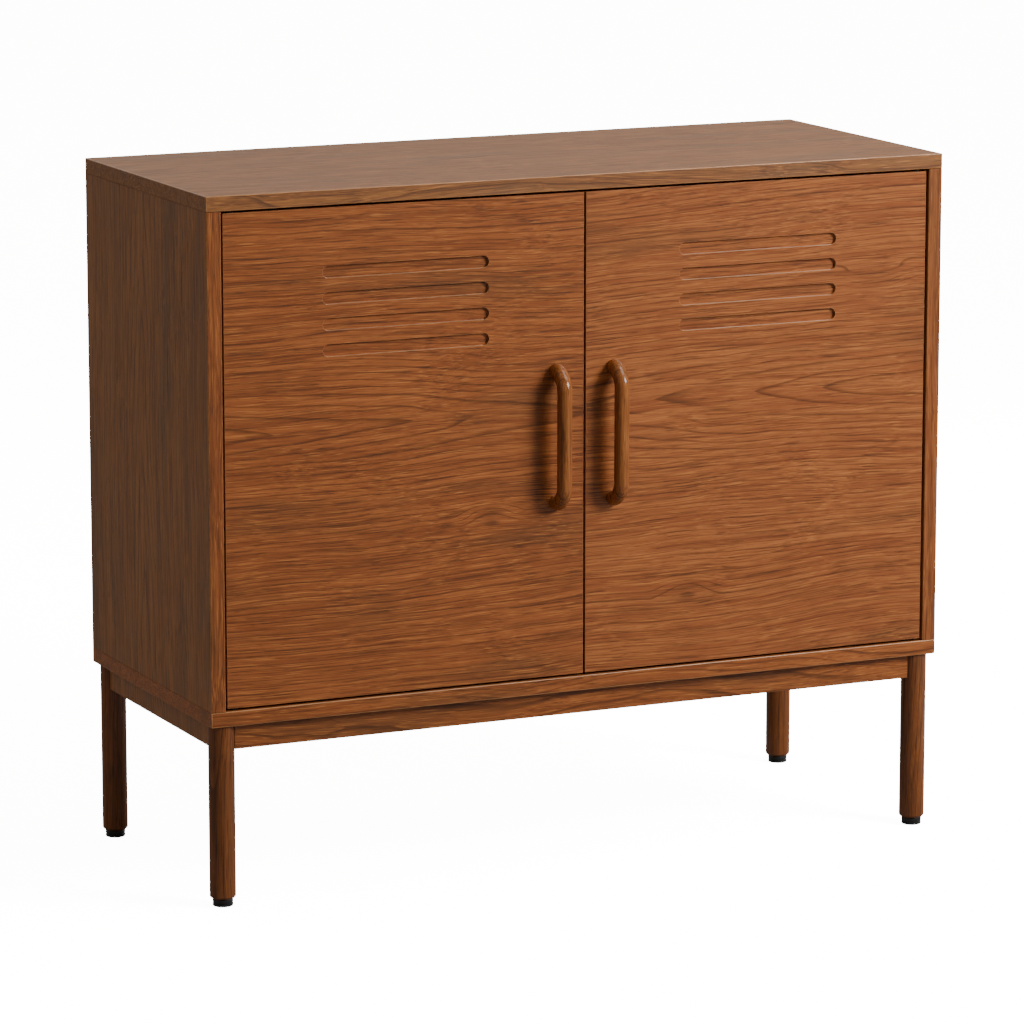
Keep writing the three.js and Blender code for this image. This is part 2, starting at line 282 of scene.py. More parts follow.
def streaks(tree, grain, length_mm, width_mm, detail=3.0, offset=0.0, roughness=0.55):
    """Noise drawn out along the grain; length and width of one streak in millimetres."""
    stretched = add(tree, "ShaderNodeMapping", {"Vector": grain},
                    Location=(offset, offset * 0.7, offset * 0.3),
                    Scale=(1 / (length_mm * MM), 1 / (width_mm * MM), 1 / (width_mm * MM)))
    noise = add(tree, "ShaderNodeTexNoise", {"Vector": stretched.outputs[0]},
                noise_dimensions="3D", Scale=1.0, Detail=detail, Roughness=roughness)
    return noise.outputs[0]


def blend_colours(tree, mode, factor, first, second):
    node = add(tree, "ShaderNodeMix", data_type="RGBA", blend_type=mode)
    for socket, value in ((node.inputs[0], factor), (node.inputs[6], first), (node.inputs[7], second)):
        if isinstance(value, (int, float, tuple)):
            socket.default_value = value
        else:
            tree.links.new(value, socket)
    return node.outputs[2]


def spread(tree, source, low, high, to_low=0.0, to_high=1.0):
    node = add(tree, "ShaderNodeMapRange", {"Value": source}, interpolation_type="SMOOTHSTEP",
               From_Min=low, From_Max=high, To_Min=to_low, To_Max=to_high)
    return node.outputs[0]


ARCH_POINT = 0.24  # how pointed the arches are


def walnut(name, turn, heart, depth_mm, lean, ring_mm, seed,
           mid="#8e4d25", dark="#45240d", light="#a96130", grey="#674327", bright="#d08344",
           roughness=0.34, ring_strength=0.62, knots=()):
    """Sliced walnut under satin lacquer: warm brown wood with dark lines and pale flecks, softly shiny.

    The veneer is a slice through a trunk: rings lie round a heart line that runs along the grain at
    depth_mm behind the face and leans away from it, which draws the arches of flat-sawn walnut.
    Real pores are a few tenths of a millimetre wide, too fine to show, so they are drawn coarser.
    """
    material, tree = new_material(name)
    place = add(tree, "ShaderNodeTexCoord").outputs["Object"]
    centred = add(tree, "ShaderNodeVectorMath", {0: place}, operation="SUBTRACT")
    centred.inputs[1].default_value = heart
    grain = add(tree, "ShaderNodeMapping", {"Vector": centred.outputs[0]}, Rotation=turn).outputs[0]

    # slow waves of the whole figure, and a slight tremble in each line
    bent = grain
    for length, width, sway in ((0.380, 0.150, 0.030), (0.070, 0.030, 0.0034), (0.030, 0.012, 0.0005)):
        wave = add(tree, "ShaderNodeMapping", {"Vector": grain}, Location=(seed, seed * 1.7, 0),
                   Scale=(1 / length, 1 / width, 1 / width))
        wave = add(tree, "ShaderNodeTexNoise", {"Vector": wave.outputs[0]},
                   Scale=1.0, Detail=1.0, Roughness=0.5)
        shift = add(tree, "ShaderNodeVectorMath", {0: wave.outputs["Color"]}, operation="SUBTRACT")
        shift.inputs[1].default_value = (0.5, 0.5, 0.5)
        shift = add(tree, "ShaderNodeVectorMath", {0: shift.outputs[0]}, operation="MULTIPLY")
        shift.inputs[1].default_value = (0.0, sway, sway)
        bent = add(tree, "ShaderNodeVectorMath", {0: bent, 1: shift.outputs[0]}, operation="ADD").outputs[0]
    parts = add(tree, "ShaderNodeSeparateXYZ", {0: bent})
    along, across, through = parts.outputs

    # distance from the heart line gives the rings
    depth = maths(tree, "ADD", maths(tree, "MULTIPLY", along, lean), depth_mm * MM)
    depth = maths(tree, "ADD", depth, through)
    radius = maths(tree, "SQRT", maths(tree, "ADD", maths(tree, "MULTIPLY", across, across),
                                       maths(tree, "MULTIPLY", depth, depth)))
    # a ring's uneven growth sharpens the tip of each arch
    aside = maths(tree, "ABSOLUTE", across)
    radius = maths(tree, "ADD", radius, maths(tree, "MULTIPLY", aside, ARCH_POINT))
    uneven = add(tree, "ShaderNodeTexNoise", noise_dimensions="1D",
                 Scale=1 / (ring_mm * 3.1 * MM), Detail=1.0)
    tree.links.new(radius, uneven.inputs["W"])
    rings = maths(tree, "ADD", maths(tree, "DIVIDE", radius, ring_mm * MM),
                  maths(tree, "MULTIPLY", uneven.outputs[0], 1.6))
    scar = 0.0
    for knot_along, knot_across, knot_size, depth_of_tone in knots:
        away = add(tree, "ShaderNodeVectorMath", {0: grain}, operation="SUBTRACT")
        away.inputs[1].default_value = (knot_along, knot_across, 0)
        away = add(tree, "ShaderNodeVectorMath", {0: away.outputs[0]}, operation="MULTIPLY")
        away.inputs[1].default_value = (0.45 / knot_size, 1 / knot_size, 0)
        away = add(tree, "ShaderNodeVectorMath", {0: away.outputs[0]}, operation="LENGTH").outputs["Value"]
        rings = maths(tree, "ADD", rings, spread(tree, away, 1.6, 0.0, 0.0, 1.9))
        scar = maths(tree, "ADD", spread(tree, away, 0.9, 0.1, 0.0, depth_of_tone), scar)
    phase = maths(tree, "FRACT", rings)
    late = maths(tree, "MULTIPLY", spread(tree, phase, 0.72, 0.94), spread(tree, phase, 0.99, 0.955))

    # streaks from wide to fine: lengths and widths in millimetres
    fades = streaks(tree, bent, 180, 24, 2.0, seed + 3)
    late = maths(tree, "MULTIPLY", late, spread(tree, fades, 0.26, 0.50))
    cloud = streaks(tree, bent, 300, 42, 3.0, seed + 5)
    band = streaks(tree, bent, 240, 6.5, 3.0, seed + 7)
    thread = streaks(tree, bent, 110, 1.35, 3.0, seed + 9, 0.62)
    fleck = streaks(tree, bent, 48, 0.95, 2.0, seed + 11, 0.55)
    pore = streaks(tree, bent, 16, 0.75, 1.0, seed + 13)

    colour = blend_colours(tree, "MIX", spread(tree, band, 0.30, 0.70), linear(mid), linear(light))
    colour = blend_colours(tree, "MIX", spread(tree, cloud, 0.50, 0.72, 0.0, 0.50), colour, linear(grey))
    colour = blend_colours(tree, "MIX", spread(tree, thread, 0.54, 0.27, 0.0, 0.85), colour, linear(dark))
    colour = blend_colours(tree, "MIX", spread(tree, fleck, 0.50, 0.74, 0.0, 0.62), colour, linear(bright))
    colour = blend_colours(tree, "MIX", spread(tree, pore, 0.42, 0.26, 0.0, 0.45), colour, linear(dark))
    colour = blend_colours(tree, "MIX", maths(tree, "MULTIPLY", late, ring_strength), colour, linear(dark))
    if knots:
        colour = blend_colours(tree, "MIX", scar, colour, linear(dark))

    sheen = spread(tree, thread, 0.2, 0.8, roughness + 0.06, roughness - 0.05)
    height = maths(tree, "ADD", maths(tree, "MULTIPLY", thread, 0.6), maths(tree, "MULTIPLY", pore, 0.4))
    relief = add(tree, "ShaderNodeBump", {"Height": height}, Strength=0.25, Distance=0.06 * MM)
    shader = add(tree, "ShaderNodeBsdfPrincipled",
                 {"Base Color": colour, "Roughness": sheen, "Normal": relief.outputs[0]}, IOR=1.45)
    close_material(tree, shader)
    return material


def plated_steel(name):
    """Zinc-plated mild steel: a pale grey metal with a slightly cloudy shine."""
    material, tree = new_material(name)
    place = add(tree, "ShaderNodeTexCoord").outputs["Object"]
    cloud = add(tree, "ShaderNodeTexNoise", {"Vector": place}, Scale=1 / (3 * MM), Detail=3.0)
    rough = spread(tree, cloud.outputs[0], 0.3, 0.7, 0.24, 0.42)
    colour = blend_colours(tree, "MIX", cloud.outputs[0], linear("#a9abad"), linear("#c9cbcc"))
    close_material(tree, add(tree, "ShaderNodeBsdfPrincipled",
                             {"Roughness": rough, "Base Color": colour}, Metallic=1.0))
    return material


def bronzed_steel(name):
    """Steel with a dark bronze finish: a deep brown metal, rubbed a little paler in places."""
    material, tree = new_material(name)
    place = add(tree, "ShaderNodeTexCoord").outputs["Object"]
    cloud = add(tree, "ShaderNodeTexNoise", {"Vector": place}, Scale=1 / (2 * MM), Detail=3.0)
    rough = spread(tree, cloud.outputs[0], 0.3, 0.7, 0.38, 0.55)
    colour = blend_colours(tree, "MIX", cloud.outputs[0], linear("#33261c"), linear("#57432f"))
    close_material(tree, add(tree, "ShaderNodeBsdfPrincipled",
                             {"Roughness": rough, "Base Color": colour}, Metallic=1.0))
    return material


def moulded_plastic(name, hex_colour, paler):
    """Moulded plastic: an even dark surface whose spark texture breaks up its gloss.

    The real texture is about a tenth of a millimetre, too fine to show, so it is drawn coarser.
    """
    material, tree = new_material(name)
    place = add(tree, "ShaderNodeTexCoord").outputs["Object"]
    grit = add(tree, "ShaderNodeTexNoise", {"Vector": place}, Scale=1 / (0.5 * MM), Detail=2.0)
    colour = blend_colours(tree, "MIX", grit.outputs[0], linear(hex_colour), linear(paler))
    relief = add(tree, "ShaderNodeBump", {"Height": grit.outputs[0]}, Strength=0.3, Distance=0.05 * MM)
    close_material(tree, add(tree, "ShaderNodeBsdfPrincipled",
                             {"Base Color": colour, "Normal": relief.outputs[0]}, Roughness=0.45, IOR=1.5))
    return material


# ---------------------------------------------------------------- stage

CAMERA_PLACE = (-2.1979, -4.7237, 1.3469)
CAMERA_AZIMUTH = -24.857  # degrees round from the front
CAMERA_ELEVATION = 10.978
CAMERA_LENS = 183.1


def set_camera():
    data = bpy.data.cameras.new("camera")
    camera = bpy.data.objects.new("camera", data)
    bpy.context.scene.collection.objects.link(camera)
    data.lens = CAMERA_LENS
    data.clip_end = 100
    camera.location = CAMERA_PLACE
    camera.rotation_euler = Euler((math.radians(90 - CAMERA_ELEVATION), 0, math.radians(CAMERA_AZIMUTH)))
    bpy.context.scene.camera = camera


def soft_light(name, place, aim, size, power):
    data = bpy.data.lights.new(name, "AREA")
    data.shape = "DISK"
    data.size = size
    data.energy = power
    lamp = bpy.data.objects.new(name, data)
    bpy.context.scene.collection.objects.link(lamp)
    lamp.location = place
    lamp.rotation_euler = (Vector(aim) - Vector(place)).to_track_quat("-Z", "Y").to_euler()


def studio():
    """A white room that is brighter behind the cabinet than in front of it."""
    world = bpy.data.worlds.new("studio")
    bpy.context.scene.world = world
    world.use_nodes = True
    tree = world.node_tree
    tree.nodes.clear()
    direction = add(tree, "ShaderNodeTexCoord").outputs["Generated"]
    split = add(tree, "ShaderNodeSeparateXYZ", {0: direction})
    behind = spread(tree, split.outputs[1], -0.5, 0.6, 0.18, 0.80)
    room = add(tree, "ShaderNodeBackground", {"Strength": behind}, Color=(1.0, 0.955, 0.885, 1))
    seen = add(tree, "ShaderNodeBackground", Strength=16.0)
    ray = add(tree, "ShaderNodeLightPath")
    mixed = add(tree, "ShaderNodeMixShader", {0: ray.outputs["Is Camera Ray"], 1: room.outputs[0],
                                              2: seen.outputs[0]})
    add(tree, "ShaderNodeOutputWorld", {"Surface": mixed.outputs[0]})
    soft_light("key", (1.7, -2.0, 1.75), aim=(0, 0, 0.4), size=1.2, power=84)
    soft_light("overhead", (0.95, -0.7, 2.4), aim=(0, 0, 0.5), size=1.2, power=14)
    soft_light("right_rim", (2.3, 0.75, 0.35), aim=(0, 0, 0.4), size=1.5, power=36)


def paper_floor():
    """White studio paper; seen by the camera it is nearly blown out, as in a catalogue."""
    deselect()
    bpy.ops.mesh.primitive_plane_add(size=60, location=(0, 0, 0))
    floor = settle("paper_floor")
    material, tree = new_material("studio_paper")
    paper = add(tree, "ShaderNodeBsdfDiffuse", Color=(5.0, 5.0, 5.0, 1))
    glow = add(tree, "ShaderNodeEmission", Strength=12.0)
    ray = add(tree, "ShaderNodeLightPath")
    lit = add(tree, "ShaderNodeAddShader", {0: paper.outputs[0], 1: glow.outputs[0]})
    dim = add(tree, "ShaderNodeBsdfDiffuse", Color=(0.25, 0.245, 0.235, 1))
    close_material(tree, add(tree, "ShaderNodeMixShader", {0: ray.outputs["Is Camera Ray"],
                                                           1: dim.outputs[0], 2: lit.outputs[0]}))
    floor.data.materials.append(material)


# ---------------------------------------------------------------- finishes

# Screws, studs, shelf pins, pole plates and strike plates: small grey glints.
STEEL = plated_steel("zinc_plated_steel")
# Pivot pins: a brown glimpse in the gap above and below each door.
BRONZED = bronzed_steel("bronzed_steel")
# Feet and bushes: matt black, with a soft line of light on each rim.
BLACK_PLASTIC = moulded_plastic("black_nylon", "#141414", "#222223")
# Catch housings: dark brown, so that they sink into the shade under the top.
BROWN_PLASTIC = moulded_plastic("brown_abs", "#3f281c", "#523626")

FIGURE_HEIGHT = 0.468  # height of the arches' centre on both doors
DOOR_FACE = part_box("left_door")[0][1]
# Each knot: its place along and across the grain from the figure's centre, its size, how dark it is.
DOOR_KNOTS = {
    "left": ((0.087, -0.098, 0.012, 0.35),),
    "right": ((0.135, 0.112, 0.016, 0.25), (-0.075, -0.19, 0.014, 0.2)),
}
# The two doors are cut from different leaves; the right one's colours are painted a little paler, as
# painted light for the brighter light that falls on the right-hand door.
DOOR_TONES_WITH_PAINTED_LIGHT = {
    "left": dict(mid="#8c4b25", light="#a75f30"),
    "right": dict(mid="#924f29", light="#ad6636"),
}
# Doors: the grain runs across, with wide arches, a few knots and a satin shine.
DOOR_VENEER = {
    side: walnut(f"walnut_veneer_{side}_door", WIDTHWAYS_UPRIGHT, (sign * 0.19, DOOR_FACE, FIGURE_HEIGHT),
                 depth_mm=58, lean=-0.060 * sign, ring_mm=6.5, seed=2.0 + sign,
                 knots=DOOR_KNOTS[side], **DOOR_TONES_WITH_PAINTED_LIGHT[side])
    for side, sign in SIDES.items()
}
# Top: duller lacquer, so that it takes on the pale grey of the room.
TOP_VENEER = walnut("walnut_veneer_top", WIDTHWAYS_FLAT, (0.1, 0.02, 0.7),
                    depth_mm=80, lean=0.03, ring_mm=5, seed=8.0,
                    mid="#7f4c22", light="#97602c", grey="#68503a", roughness=0.50)
# Bottom panel and cross rails: plain straight grain, seen mostly on their front edges.
BOTTOM_VENEER = walnut("walnut_veneer_bottom", WIDTHWAYS_FLAT, (0.0, 0, 0.19),
                       depth_mm=70, lean=0.03, ring_mm=5, seed=12.0)
# Shelves: the same walnut, plain and in shade.
SHELF_VENEER = walnut("walnut_veneer_shelf", WIDTHWAYS_FLAT, (0, 0, 0.4),
                      depth_mm=75, lean=0.04, ring_mm=5.5, seed=15.0)
# Sides: upright grain, a little greyer than the doors.
SIDE_VENEER = {
    side: walnut(f"walnut_veneer_{side}_side", UPRIGHT, (sign * 0.4, 0.02, 0.45),
                 depth_mm=60, lean=0.05, ring_mm=6, seed=20.0 + sign,
                 mid="#8b5329", dark="#41270f", light="#a46837", grey="#5f4530", bright="#b67a46",
                 ring_strength=0.5)
    for side, sign in SIDES.items()
}
# Edge band on the front of the side panels: fine upright lines in an even brown.
STILE_BAND = walnut("walnut_edge_band_upright", UPRIGHT, (0.1, -0.15, 0.3),
                    depth_mm=60, lean=0.03, ring_mm=6, seed=24.0,
                    mid="#864722", light="#9f5b2d", ring_strength=0.4)
# Eased edges: a paler colour painted on the rounds as a highlight, the thin line of light that they catch,
# under a glossier lacquer.
PAINTED_HIGHLIGHT_WALNUT_EDGE = walnut("walnut_edge_painted_highlight", WIDTHWAYS_FLAT, (0, 0, 0.4),
                      depth_mm=90, lean=0.02, ring_mm=6, seed=51.0,
                      mid="#b27a4c", dark="#85512b", light="#c28a5a", grey="#93653f", bright="#d49d6c",
                      roughness=0.26, ring_strength=0.3)
# Legs: solid walnut, darker than the veneer, with a soft line of light down each side.
LEG_WALNUT = walnut("turned_walnut_legs", UPRIGHT, (0, 0, 0.1),
                    depth_mm=90, lean=0.02, ring_mm=5, seed=31.0,
                    mid="#77411d", dark="#3d200a", light="#8b5029", grey="#533722", bright="#9d5f2e",
                    roughness=0.30)
# Handles: solid walnut, polished by hands, with a bright spark at each bend.
HANDLE_WALNUT = walnut("turned_walnut_handles", UPRIGHT, (0, 0, 0.47),
                       depth_mm=90, lean=0.02, ring_mm=5, seed=34.0,
                       mid="#8f5026", dark="#4a290e", light="#a06030", grey="#654026", bright="#b97a40",
                       roughness=0.20)
# Back panel: thin board faced with walnut, nearly matt.
BACK_BOARD = walnut("walnut_faced_hardboard", WIDTHWAYS_UPRIGHT, (0, 0.16, 0.4),
                    depth_mm=85, lean=0.04, ring_mm=6, seed=41.0,
                    mid="#7c4724", light="#8f5733", roughness=0.6)


# ---------------------------------------------------------------- panels

def back_groove():
    """Cutter for the groove that the back panel sits in."""
    low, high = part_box("back_panel")
    grow = Vector((CLEAR, CLEAR, CLEAR))
    return block("groove", Vector(low) - grow, Vector(high) + grow)


def cross_panel(level, material):
    """The top or bottom panel; only the edges that no other panel meets are eased."""
    node = f"{level}_panel"
    low, high = (Vector(corner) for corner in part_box(node))
    panel = block(f"{node}_veneered", low, high)
    outer = high.z if level == "top" else low.z

    def eased(a, b):
        on_outer_face = abs(a.z - outer) < MM and abs(b.z - outer) < MM
        return abs(a.y - b.y) < MM or on_outer_face

    ease_chosen(panel, eased)
    cutters = [back_groove()]
    for side in SIDES:
        pin = f"{level}_pivot_pin_{side}"
        foot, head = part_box(pin)
        cutters.append(upright_bar("pin_hole", centre(pin), foot[2] - CLEAR, head[2] + CLEAR, PIVOT_HOLE))
    if level == "bottom":
        for corner in CORNERS:
            bolt = f"leg_bolt_{corner}"
            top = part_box(bolt)[1][2]
            cutters.append(upright_bar("bolt_hole", centre(bolt), top - BOLT_HOLE_DEPTH, top + CLEAR,
                                       THREAD_HOLE))
    cut(panel, cutters)
    finished(panel, "carcass", "walnut_along", material, node, edge=PAINTED_HIGHLIGHT_WALNUT_EDGE)


def side_panel(side):
    """Side panel with its groove, its rows of shelf holes and the band on its front edge."""
    node = f"{side}_side_panel"
    panel = block(f"{node}_veneered", *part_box(node))
    ease_chosen(panel, lambda a, b: abs(a.z - b.z) > MM)
    groove = back_groove()
    holes = []
    for shelf in ("upper", "lower"):
        for end in ENDS:
            pin = f"{shelf}_shelf_pin_{end}_{side}"
            low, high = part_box(pin)
            spot = centre(pin)
            for step in (-1, 0, 1):
                z = spot.z + step * SHELF_ROW_PITCH
                holes.append(bar("shelf_hole", (low[0] - CLEAR, spot.y, z), (high[0] + CLEAR, spot.y, z),
                                 SHELF_PIN_HOLE))
    cut(panel, [groove, join(holes)])
    finished(panel, "carcass", "walnut_side", SIDE_VENEER[side], node, edge=PAINTED_HIGHLIGHT_WALNUT_EDGE)
    panel.data.materials.append(STILE_BAND)
    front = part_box(node)[0][1]
    for face in panel.data.polygons:
        if face.center.y < front + SKIN:
            face.material_index = BAND_FINISH


def plain_board(node, slot, material, radius=EASED_EDGE):
    board = block(f"{node}_veneered", *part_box(node))
    ease_edges(board, radius)
    finished(board, "carcass", slot, material, node)


def apron(node, slot, material):
    """A rail whose ends are hollowed to fit round the legs."""
    low, high = (Vector(corner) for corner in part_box(node))
    rail = block(f"{node}_rail", low, high)
    ease_edges(rail, APRON_EASING)
    cut(rail, [upright_bar("cope", centre(f"leg_{corner}"), low.z - COPE_PAST, high.z + COPE_PAST,
                           LEG_COPE, FINE_ROUND) for corner in CORNERS])
    finished(rail, "carcass", slot, material, node)


# ---------------------------------------------------------------- doors

SLOT_LENGTH, SLOT_HEIGHT, SLOT_DEPTH = 176 * MM, 12 * MM, 3 * MM
SLOT_PITCH, SLOT_DROP = 25.5 * MM, 56.5 * MM
SLOT_COUNT = 4
SLOT_END_STEPS = 12
HALF_ROUND = 0.9999  # a full half of the height would close the ends on themselves
DOOR_EASING = 1.1 * MM
HEAD_HOLE_DEPTH = 2.7 * MM


def slot_cutter(x, front, z):
    """Cutter for one shallow slot with round ends."""
    cutter = block("slot", (x - SLOT_LENGTH / 2, front - 2 * PAST, z - SLOT_HEIGHT / 2),
                   (x + SLOT_LENGTH / 2, front + SLOT_DEPTH, z + SLOT_HEIGHT / 2))
    select_edges(cutter, lambda a, b: abs(a.y - b.y) > SKIN)
    bpy.ops.mesh.bevel(offset=SLOT_HEIGHT / 2 * HALF_ROUND, segments=SLOT_END_STEPS, affect="EDGES")
    bpy.ops.mesh.select_all(action="SELECT")
    # the tiny edges left at the ends would keep the door's edges from being eased
    bpy.ops.mesh.remove_doubles(threshold=0.02 * MM)
    leave_edit()
    return cutter


def door(side):
    """Veneered leaf with its slots, and the holes for its bushes and handle screws."""
    node = f"{side}_door"
    low, high = (Vector(corner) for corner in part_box(node))
    leaf = block(f"{node}_veneered", low, high)
    x = (low.x + high.x) / 2
    for index in range(SLOT_COUNT):
        z = high.z - SLOT_DROP - SLOT_HEIGHT / 2 - index * SLOT_PITCH
        cut(leaf, [slot_cutter(x, low.y, z)])
    # the rounds, slot rims included, take the paler edge colour painted as a highlight
    ease_edges(leaf, DOOR_EASING, EDGE_STEPS + 1, painted_highlight_rounds=True)
    holes = []
    for level in ("top", "bottom"):
        bush = f"{level}_pivot_bush_{side}"
        foot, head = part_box(bush)
        holes.append(upright_bar("bush_hole", centre(bush), foot[2] - CLEAR, head[2] + CLEAR, BUSH_HOLE))
    for level in ("upper", "lower"):
        x, _, z = centre(f"{side}_handle_screw_{level}")
        behind = (x, high.y + PAST, z)
        holes.append(bar("screw_hole", (x, low.y - PAST, z), behind, SCREW_HOLE))
        holes.append(bar("head_hole", (x, high.y - HEAD_HOLE_DEPTH, z), behind, SCREW_HEAD_HOLE))
    cut(leaf, holes)
    finished(leaf, f"{side}_door", "walnut_along", DOOR_VENEER[side], node, edge=PAINTED_HIGHLIGHT_WALNUT_EDGE)


HANDLE_RADIUS = 7.5 * MM
HANDLE_SIDES = 48
HANDLE_POST = 7.5 * MM  # length of the straight ends, measured to the corner of the first bend
HANDLE_TRIM = 6 * MM  # what each bend takes from the straight runs beside it
BEND = math.radians(45)
BEND_STEPS = 10
SPIN_SIGN = -1  # spin turns the other way round from a rotation matrix
ACROSS = Vector((1, 0, 0))


def handle(side):
    """A round bar bent four times: its ring is pushed and spun along the bar's line."""
    node = f"{side}_handle"
    low, high = (Vector(corner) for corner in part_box(node))
    reach = (high.z - low.z) / 2 - HANDLE_RADIUS
    rise = high.y - low.y - HANDLE_RADIUS - HANDLE_POST
    slope = rise * math.sqrt(2) - 2 * HANDLE_TRIM
    grip = 2 * (reach - rise) - 2 * HANDLE_TRIM
    post = HANDLE_POST - HANDLE_TRIM
    bend_radius = HANDLE_TRIM / math.tan(BEND / 2)
    turn = Matrix.Rotation(BEND, 3, ACROSS)
    spot = Vector(((low.x + high.x) / 2, high.y, (low.z + high.z) / 2 + reach))
    heading = Vector((0, -1, 0))

    deselect()
    bpy.ops.mesh.primitive_circle_add(vertices=HANDLE_SIDES, radius=HANDLE_RADIUS, location=spot,
                                      rotation=(QUARTER, 0, 0))
    bar_piece = settle(f"{node}_bar")
    pick(bar_piece)
    bpy.ops.object.mode_set(mode="EDIT")
    bpy.ops.mesh.select_mode(type="EDGE")
    bpy.ops.mesh.select_all(action="SELECT")
    for run in (post, slope, grip, slope):
        bpy.ops.mesh.extrude_region_move(TRANSFORM_OT_translate={"value": heading * run})
        spot = spot + heading * run
        pivot = spot + ACROSS.cross(heading) * bend_radius
        bpy.ops.mesh.spin(steps=BEND_STEPS, angle=SPIN_SIGN * BEND, center=pivot, axis=ACROSS)
        spot = pivot + turn @ (spot - pivot)
        heading = turn @ heading
    bpy.ops.mesh.extrude_region_move(TRANSFORM_OT_translate={"value": heading * post})
    bpy.ops.mesh.select_all(action="SELECT")
    bpy.ops.mesh.remove_doubles(threshold=0.001 * MM)
    bpy.ops.mesh.fill_holes(sides=0)
    bpy.ops.mesh.normals_make_consistent(inside=False)
    leave_edit()
    screw_holes = []
    for level in ("upper", "lower"):
        screw = f"{side}_handle_screw_{level}"
        x, _, z = centre(screw)
        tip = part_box(screw)[0][1]
        screw_holes.append(bar("screw_hole", (x, tip - CLEAR, z), (x, high.y + PAST, z), SCREW_HOLE))
    cut(bar_piece, screw_holes)
    finished(bar_piece, f"{side}_door", "walnut_turned", HANDLE_WALNUT, node)


# ---------------------------------------------------------------- legs and feet

def turned(name, spot, profile, sides=FINE_ROUND):
    """A solid turned about a vertical line: a ring is pushed up and resized for each step."""
    deselect()
    radius, height = profile[0]
    bpy.ops.mesh.primitive_circle_add(vertices=sides, radius=radius, fill_type="NGON",
                                      location=(spot.x, spot.y, spot.z + height))
    piece = settle(name)
    pick(piece)
    bpy.ops.object.mode_set(mode="EDIT")
    bpy.ops.mesh.select_all(action="SELECT")
    for wider, higher in profile[1:]:
        bpy.ops.mesh.extrude_region_move(TRANSFORM_OT_translate={"value": (0, 0, higher - height)})
        scale = wider / radius
        bpy.ops.transform.resize(value=(scale, scale, 1), center_override=(spot.x, spot.y, spot.z + higher))
        radius, height = wider, higher
    bpy.ops.mesh.select_all(action="SELECT")
    bpy.ops.mesh.normals_make_consistent(inside=False)
    leave_edit()
    return piece


LEG_RADIUS = 13 * MM
LEG_CHAMFER = 2 * MM
LEG_SOFTENING = 0.5 * MM  # how far the chamfer's upper corner is rounded
STUD_HEADROOM = 6 * MM  # bore left free above the stud


def leg(corner):
    """Turned leg with a chamfered foot, bored for its stud and its bolt."""
    node = f"leg_{corner}"
    low, high = (Vector(c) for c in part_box(node))
    spot = Vector(((low.x + high.x) / 2, (low.y + high.y) / 2, 0))
    soft = LEG_SOFTENING
    shoulder = low.z + LEG_CHAMFER
    profile = [(LEG_RADIUS - LEG_CHAMFER, low.z), (LEG_RADIUS - soft * 0.7, shoulder - soft * 0.7),
               (LEG_RADIUS - soft * 0.2, shoulder), (LEG_RADIUS, shoulder + soft * 1.2),
               (LEG_RADIUS, high.z)]
    post = turned(f"{node}_turned", spot, profile)
    stud_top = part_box(f"foot_stud_{corner}")[1][2]
    bolt_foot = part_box(f"leg_bolt_{corner}")[0][2]
    cut(post, [upright_bar("stud_bore", spot, low.z - PAST, stud_top + STUD_HEADROOM, THREAD_HOLE),
               upright_bar("bolt_bore", spot, bolt_foot - CLEAR, high.z + PAST, THREAD_HOLE)])
    finished(post, "carcass", "walnut_turned", LEG_WALNUT, node)


def foot_pad(corner):
    """Moulded pad with a groove round its rim."""
    node = f"foot_pad_{corner}"
    low, high = (Vector(c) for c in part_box(node))
    spot = Vector(((low.x + high.x) / 2, (low.y + high.y) / 2, 0))
    rim = (high.x - low.x) / 2
    top = high.z
    lip = 0.35 * MM
    waist = rim - 0.9 * MM
    profile = [(rim - 1.3 * MM, 0), (rim - 0.5 * MM, 0.3 * MM), (rim, 1.0 * MM), (rim, 2.6 * MM),
               (rim - lip, 2.9 * MM), (waist, 3.0 * MM), (waist, 3.9 * MM), (rim - lip, 4.0 * MM),
               (rim, 4.3 * MM), (rim, top - 0.6 * MM), (rim - 0.2 * MM, top - 0.2 * MM),
               (rim - 0.6 * MM, top)]
    pad = turned(f"{node}_moulded", spot, profile)
    stud_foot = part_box(f"foot_stud_{corner}")[0][2]
    cut(pad, [upright_bar("socket", spot, stud_foot - CLEAR, top + PAST, THREAD_HOLE)])
    finished(pad, f"foot_{corner}", "black_plastic", BLACK_PLASTIC, node)


# ---------------------------------------------------------------- hardware

ORIGIN = Vector((0, 0, 0))  # small pieces are made here, then laid in place
HALF_TURN = math.pi
PIN_RADIUS = 2.5 * MM  # pivot pins and shelf pins
PIVOT_SEAT = 10.3 * MM  # height of the pivot pin's collar above its foot
BUSH_BORE = 2.6 * MM
THREAD_CREST, THREAD_ROOT, THREAD_PITCH = 4.0 * MM, 3.4 * MM, 1.25 * MM
HANDLE_SHANK = 2.0 * MM
POLE_OFFSET, POLE_HALF_THICKNESS, POLE_MARGIN, POLE_LENGTH = 2.6 * MM, 0.7 * MM, 7 * MM, 6 * MM
CATCH_NOSE = 0.8 * MM  # how far the pole plates stand out of the housing
CATCH_EASING = 1.0 * MM
CATCH_SCREW_SPREAD = 14.5 * MM
CATCH_SCREW_SETBACK = 2 * MM
CATCH_SCREW_SINK = 1.6 * MM
CATCH_POCKET_DEPTH, CATCH_POCKET_RADIUS = 1.8 * MM, 3.4 * MM
STRIKE_EASING = 0.35 * MM
STRIKE_SCREW_SPREAD = 7.5 * MM
STRIKE_SINK = 0.5 * MM
COUNTERSINK_RADIUS = 2.7 * MM


def cross_recess(name, size, top, depth):
    """Two cutters for the cross in a screw head whose top faces +Z at that height."""
    half, arm = size / 2, size / 7
    return [block(name, (-half, -arm, top - depth), (half, arm, top + depth)),
            block(name, (-arm, -half, top - depth), (arm, half, top + depth))]


